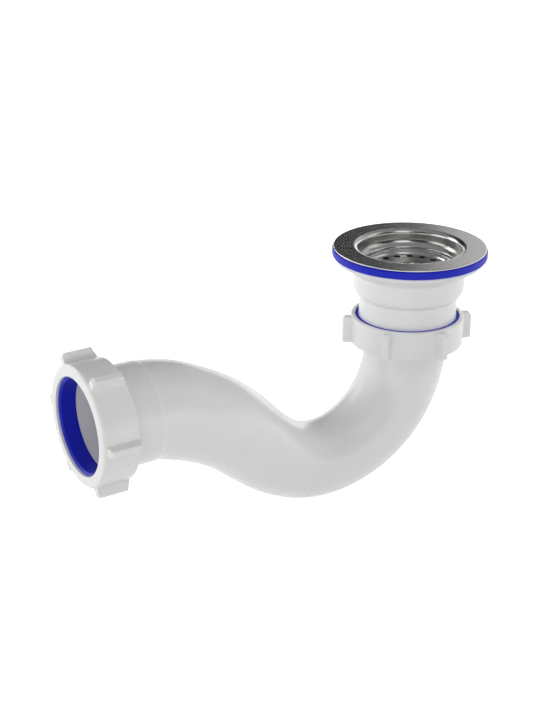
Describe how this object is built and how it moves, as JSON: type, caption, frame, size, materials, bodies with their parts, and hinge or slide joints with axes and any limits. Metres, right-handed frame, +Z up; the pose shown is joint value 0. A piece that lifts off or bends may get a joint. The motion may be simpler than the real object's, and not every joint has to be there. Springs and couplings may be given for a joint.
{
  "type": "shower tray trap",
  "caption": "Shower waste with a pressed steel strainer, a rubber washer and a swept plastic trap held by compression nuts at inlet and outlet.",
  "frame": {"origin": "centre of the face under the steel rim, which sits on the shower tray", "axes": "+Z up along the axis of the waste; the outlet runs toward -X"},
  "size_m": [0.2044, 0.071, 0.113],
  "materials": {
    "steel": "satin pressed stainless steel",
    "screw_steel": "bright turned stainless steel",
    "brass": "turned brass",
    "washer_rubber": "moulded blue rubber",
    "seal_rubber": "moulded blue rubber",
    "waste_plastic": "moulded white polypropylene",
    "nut_plastic": "moulded white polypropylene",
    "bend_plastic": "moulded white polypropylene, softly shining"
  },
  "bodies": {
    "waste": {"waste_body": "waste_plastic", "threaded_insert": "brass", "tray_washer": "washer_rubber"},
    "strainer": {"strainer_flange": "steel"},
    "screw": {"strainer_screw": "screw_steel"},
    "trap": {"trap_inlet": "bend_plastic", "trap_bend": "bend_plastic", "trap_collar": "bend_plastic"},
    "upper_seal": {"inlet_seal": "seal_rubber"},
    "upper_nut": {"inlet_nut": "nut_plastic"},
    "lower_seal": {"outlet_seal": "seal_rubber"},
    "lower_nut": {"outlet_nut": "nut_plastic"}
  },
  "joints": [
    {"name": "strainer_lift", "type": "slide", "parent": "waste", "child": "strainer", "axis": [0, 0, 1], "range_m": [0, 0.01]},
    {"name": "screw_turn", "type": "hinge", "parent": "strainer", "child": "screw", "pos_m": [0, 0, -0.0096], "axis": [0, 0, 1], "range_deg": [0, 3620]},
    {"name": "trap_swivel", "type": "hinge", "parent": "waste", "child": "trap", "pos_m": [0, 0, -0.0369], "axis": [0, 0, 1], "continuous": true},
    {"name": "upper_seal_travel", "type": "slide", "parent": "trap", "child": "upper_seal", "axis": [0, 0, 1], "range_m": [0, 0.0091]},
    {"name": "upper_nut_turn", "type": "hinge", "parent": "upper_seal", "child": "upper_nut", "pos_m": [0, 0, -0.0389], "axis": [0, 0, 1], "range_deg": [0, 1080]},
    {"name": "lower_seal_travel", "type": "slide", "parent": "trap", "child": "lower_seal", "axis": [-1, 0, -0.0035], "range_m": [0, 0.0091]},
    {"name": "lower_nut_turn", "type": "hinge", "parent": "lower_seal", "child": "lower_nut", "pos_m": [-0.16078, 0, -0.04845], "axis": [-1, 0, -0.0035], "range_deg": [0, 1080]}
  ],
  "couplings": [
    {"joint": "screw_turn", "follows": "strainer_lift", "rad_per_m": 6283.2},
    {"joint": "upper_seal_travel", "follows": "upper_nut_turn", "m_per_rad": 0.00047746},
    {"joint": "lower_seal_travel", "follows": "lower_nut_turn", "m_per_rad": 0.00047746}
  ]
}
